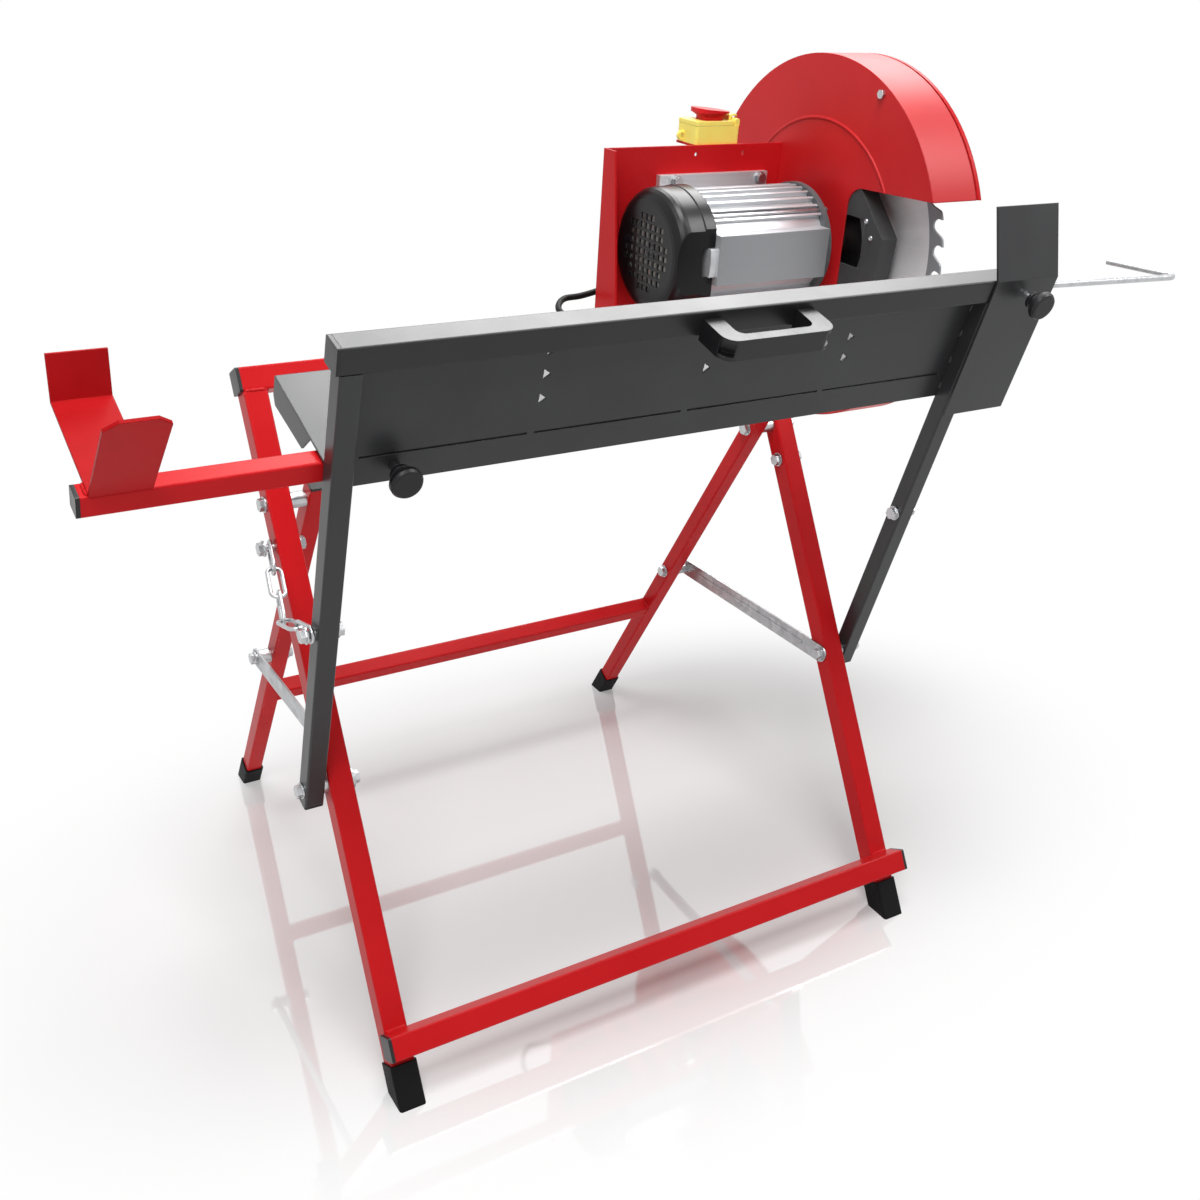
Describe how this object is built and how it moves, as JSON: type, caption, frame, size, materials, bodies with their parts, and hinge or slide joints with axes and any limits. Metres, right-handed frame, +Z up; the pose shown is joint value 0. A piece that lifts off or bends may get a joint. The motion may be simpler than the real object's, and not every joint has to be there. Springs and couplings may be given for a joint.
{
  "type": "rocking-cradle firewood log saw",
  "caption": "Free-standing tube-framed log saw: a rocking sheet-metal cradle feeds firewood sideways into a guarded, motor-driven circular blade; sliding log support and length stop.",
  "frame": {"origin": "middle of the overall box at floor level", "axes": "+X to the right along the blade axis, +Y to the rear, away from the person at the handle, +Z up"},
  "size_m": [1.2122, 0.6846, 0.9484],
  "materials": {
    "red_paint": "gloss powder coat",
    "black_paint": "fine textured powder coat",
    "black_plastic": "moulded, satin",
    "black_rubber": "matte",
    "zinc_steel": "bright zinc plate",
    "bright_steel": "ground steel",
    "cast_aluminium": "die-cast, silver lacquer",
    "satin_black": "satin lacquer on pressed steel",
    "copper_varnish": "varnished winding",
    "yellow_plastic": "moulded, semi-gloss",
    "red_plastic": "moulded, semi-gloss",
    "green_plastic": "moulded, semi-gloss"
  },
  "bodies": {
    "stand": {"front_leg_left": "red_paint", "front_leg_right": "red_paint", "top_bar": "red_paint", "foot_bar": "red_paint", "front_feet": "black_rubber", "stand_plugs": "black_plastic", "motor_arms": "red_paint", "motor_plate": "red_paint", "guard_shell": "red_paint", "guard_cover": "red_paint", "guard_bolts": "zinc_steel", "arbor_cover": "black_plastic", "motor_housing": "cast_aluminium", "motor_foot": "cast_aluminium", "drive_end_shield": "cast_aluminium", "fan_end_shield": "cast_aluminium", "fan_cover": "satin_black", "motor_bolts": "zinc_steel", "stator": "copper_varnish", "motor_bearings": "bright_steel", "switch_box": "yellow_plastic", "motor_lead": "black_rubber", "lead_glands": "black_plastic", "leg_pivot_bolts": "zinc_steel", "stand_bolts": "zinc_steel", "rear_leg_left": "red_paint", "rear_leg_right": "red_paint", "rear_cross_bar": "red_paint", "rear_feet": "black_rubber", "rear_plugs": "black_plastic", "stay_bolts": "zinc_steel", "stay_left": "zinc_steel", "stay_right": "zinc_steel"},
    "cradle": {"left_post": "black_paint", "right_post": "black_paint", "top_rail": "black_paint", "front_panel": "black_paint", "trough_plate": "black_paint", "end_plate": "black_paint", "handle": "black_plastic", "extension_guide": "black_paint", "cradle_plugs": "black_plastic", "cradle_bolts": "zinc_steel", "clamp_nuts": "black_paint"},
    "extension": {"extension_tube": "red_paint", "log_support": "red_paint", "extension_plug": "black_plastic"},
    "extension_knob": {"extension_knob": "black_plastic"},
    "length_stop": {"stop_rod": "zinc_steel"},
    "stop_knob": {"stop_knob": "black_plastic"},
    "spindle": {"saw_blade": "bright_steel", "blade_flanges": "bright_steel", "arbor_nut": "zinc_steel", "rotor": "bright_steel", "cooling_fan": "black_plastic"},
    "switch_flap": {"switch_flap": "yellow_plastic"},
    "stop_cap": {"stop_cap": "red_plastic"},
    "start_button": {"start_button": "green_plastic"},
    "chain_upper": {"chain_upper": "zinc_steel"},
    "chain_lower": {"chain_lower": "zinc_steel"}
  },
  "joints": [
    {"name": "cradle_swing", "type": "hinge", "parent": "stand", "child": "cradle", "pos_m": [-0.04967, -0.15595, 0.28201], "axis": [-1, 0, 0], "range_deg": [0, 22]},
    {"name": "blade_spin", "type": "hinge", "parent": "stand", "child": "spindle", "pos_m": [0.42833, 0.11732, 0.72345], "axis": [1, 0, 0], "continuous": true},
    {"name": "extension_slide", "type": "slide", "parent": "cradle", "child": "extension", "axis": [-1, 0, 0], "range_m": [-0.13, 0.17]},
    {"name": "extension_knob_turn", "type": "hinge", "parent": "cradle", "child": "extension_knob", "pos_m": [-0.34567, -0.25307, 0.65218], "axis": [0, 0.9673, 0.2538], "range_deg": [0, 360]},
    {"name": "stop_slide", "type": "slide", "parent": "cradle", "child": "length_stop", "axis": [0.9993, 0.0092, -0.0352], "range_m": [-0.05, 0.15]},
    {"name": "stop_knob_turn", "type": "hinge", "parent": "cradle", "child": "stop_knob", "pos_m": [0.33833, -0.28201, 0.76252], "axis": [0, 0.9673, 0.2538], "range_deg": [0, 360]},
    {"name": "flap_open", "type": "hinge", "parent": "stand", "child": "switch_flap", "pos_m": [0.31833, 0.22057, 0.85895], "axis": [0, 1, 0], "range_deg": [0, 100]},
    {"name": "stop_press", "type": "slide", "parent": "switch_flap", "child": "stop_cap", "axis": [0, 0, -1], "range_m": [0, 0.003], "stiffness_N_per_m": 1500, "springref_m": -0.002},
    {"name": "start_press", "type": "slide", "parent": "stand", "child": "start_button", "axis": [0, 0, -1], "range_m": [0, 0.003], "stiffness_N_per_m": 1000, "springref_m": -0.002},
    {"name": "chain_upper_turn", "type": "hinge", "parent": "stand", "child": "chain_upper", "pos_m": [-0.38937, -0.02925, 0.49287], "axis": [1, 0, 0], "range_deg": [0, 32.4]},
    {"name": "chain_lower_turn", "type": "hinge", "parent": "cradle", "child": "chain_lower", "pos_m": [-0.41367, -0.20988, 0.48755], "axis": [1, 0, 0], "range_deg": [-30.9, 0]}
  ],
  "couplings": [
    {"joint": "chain_upper_turn", "follows": "cradle_swing", "ratio": 1.45},
    {"joint": "chain_lower_turn", "follows": "cradle_swing", "ratio": -1.38}
  ]
}
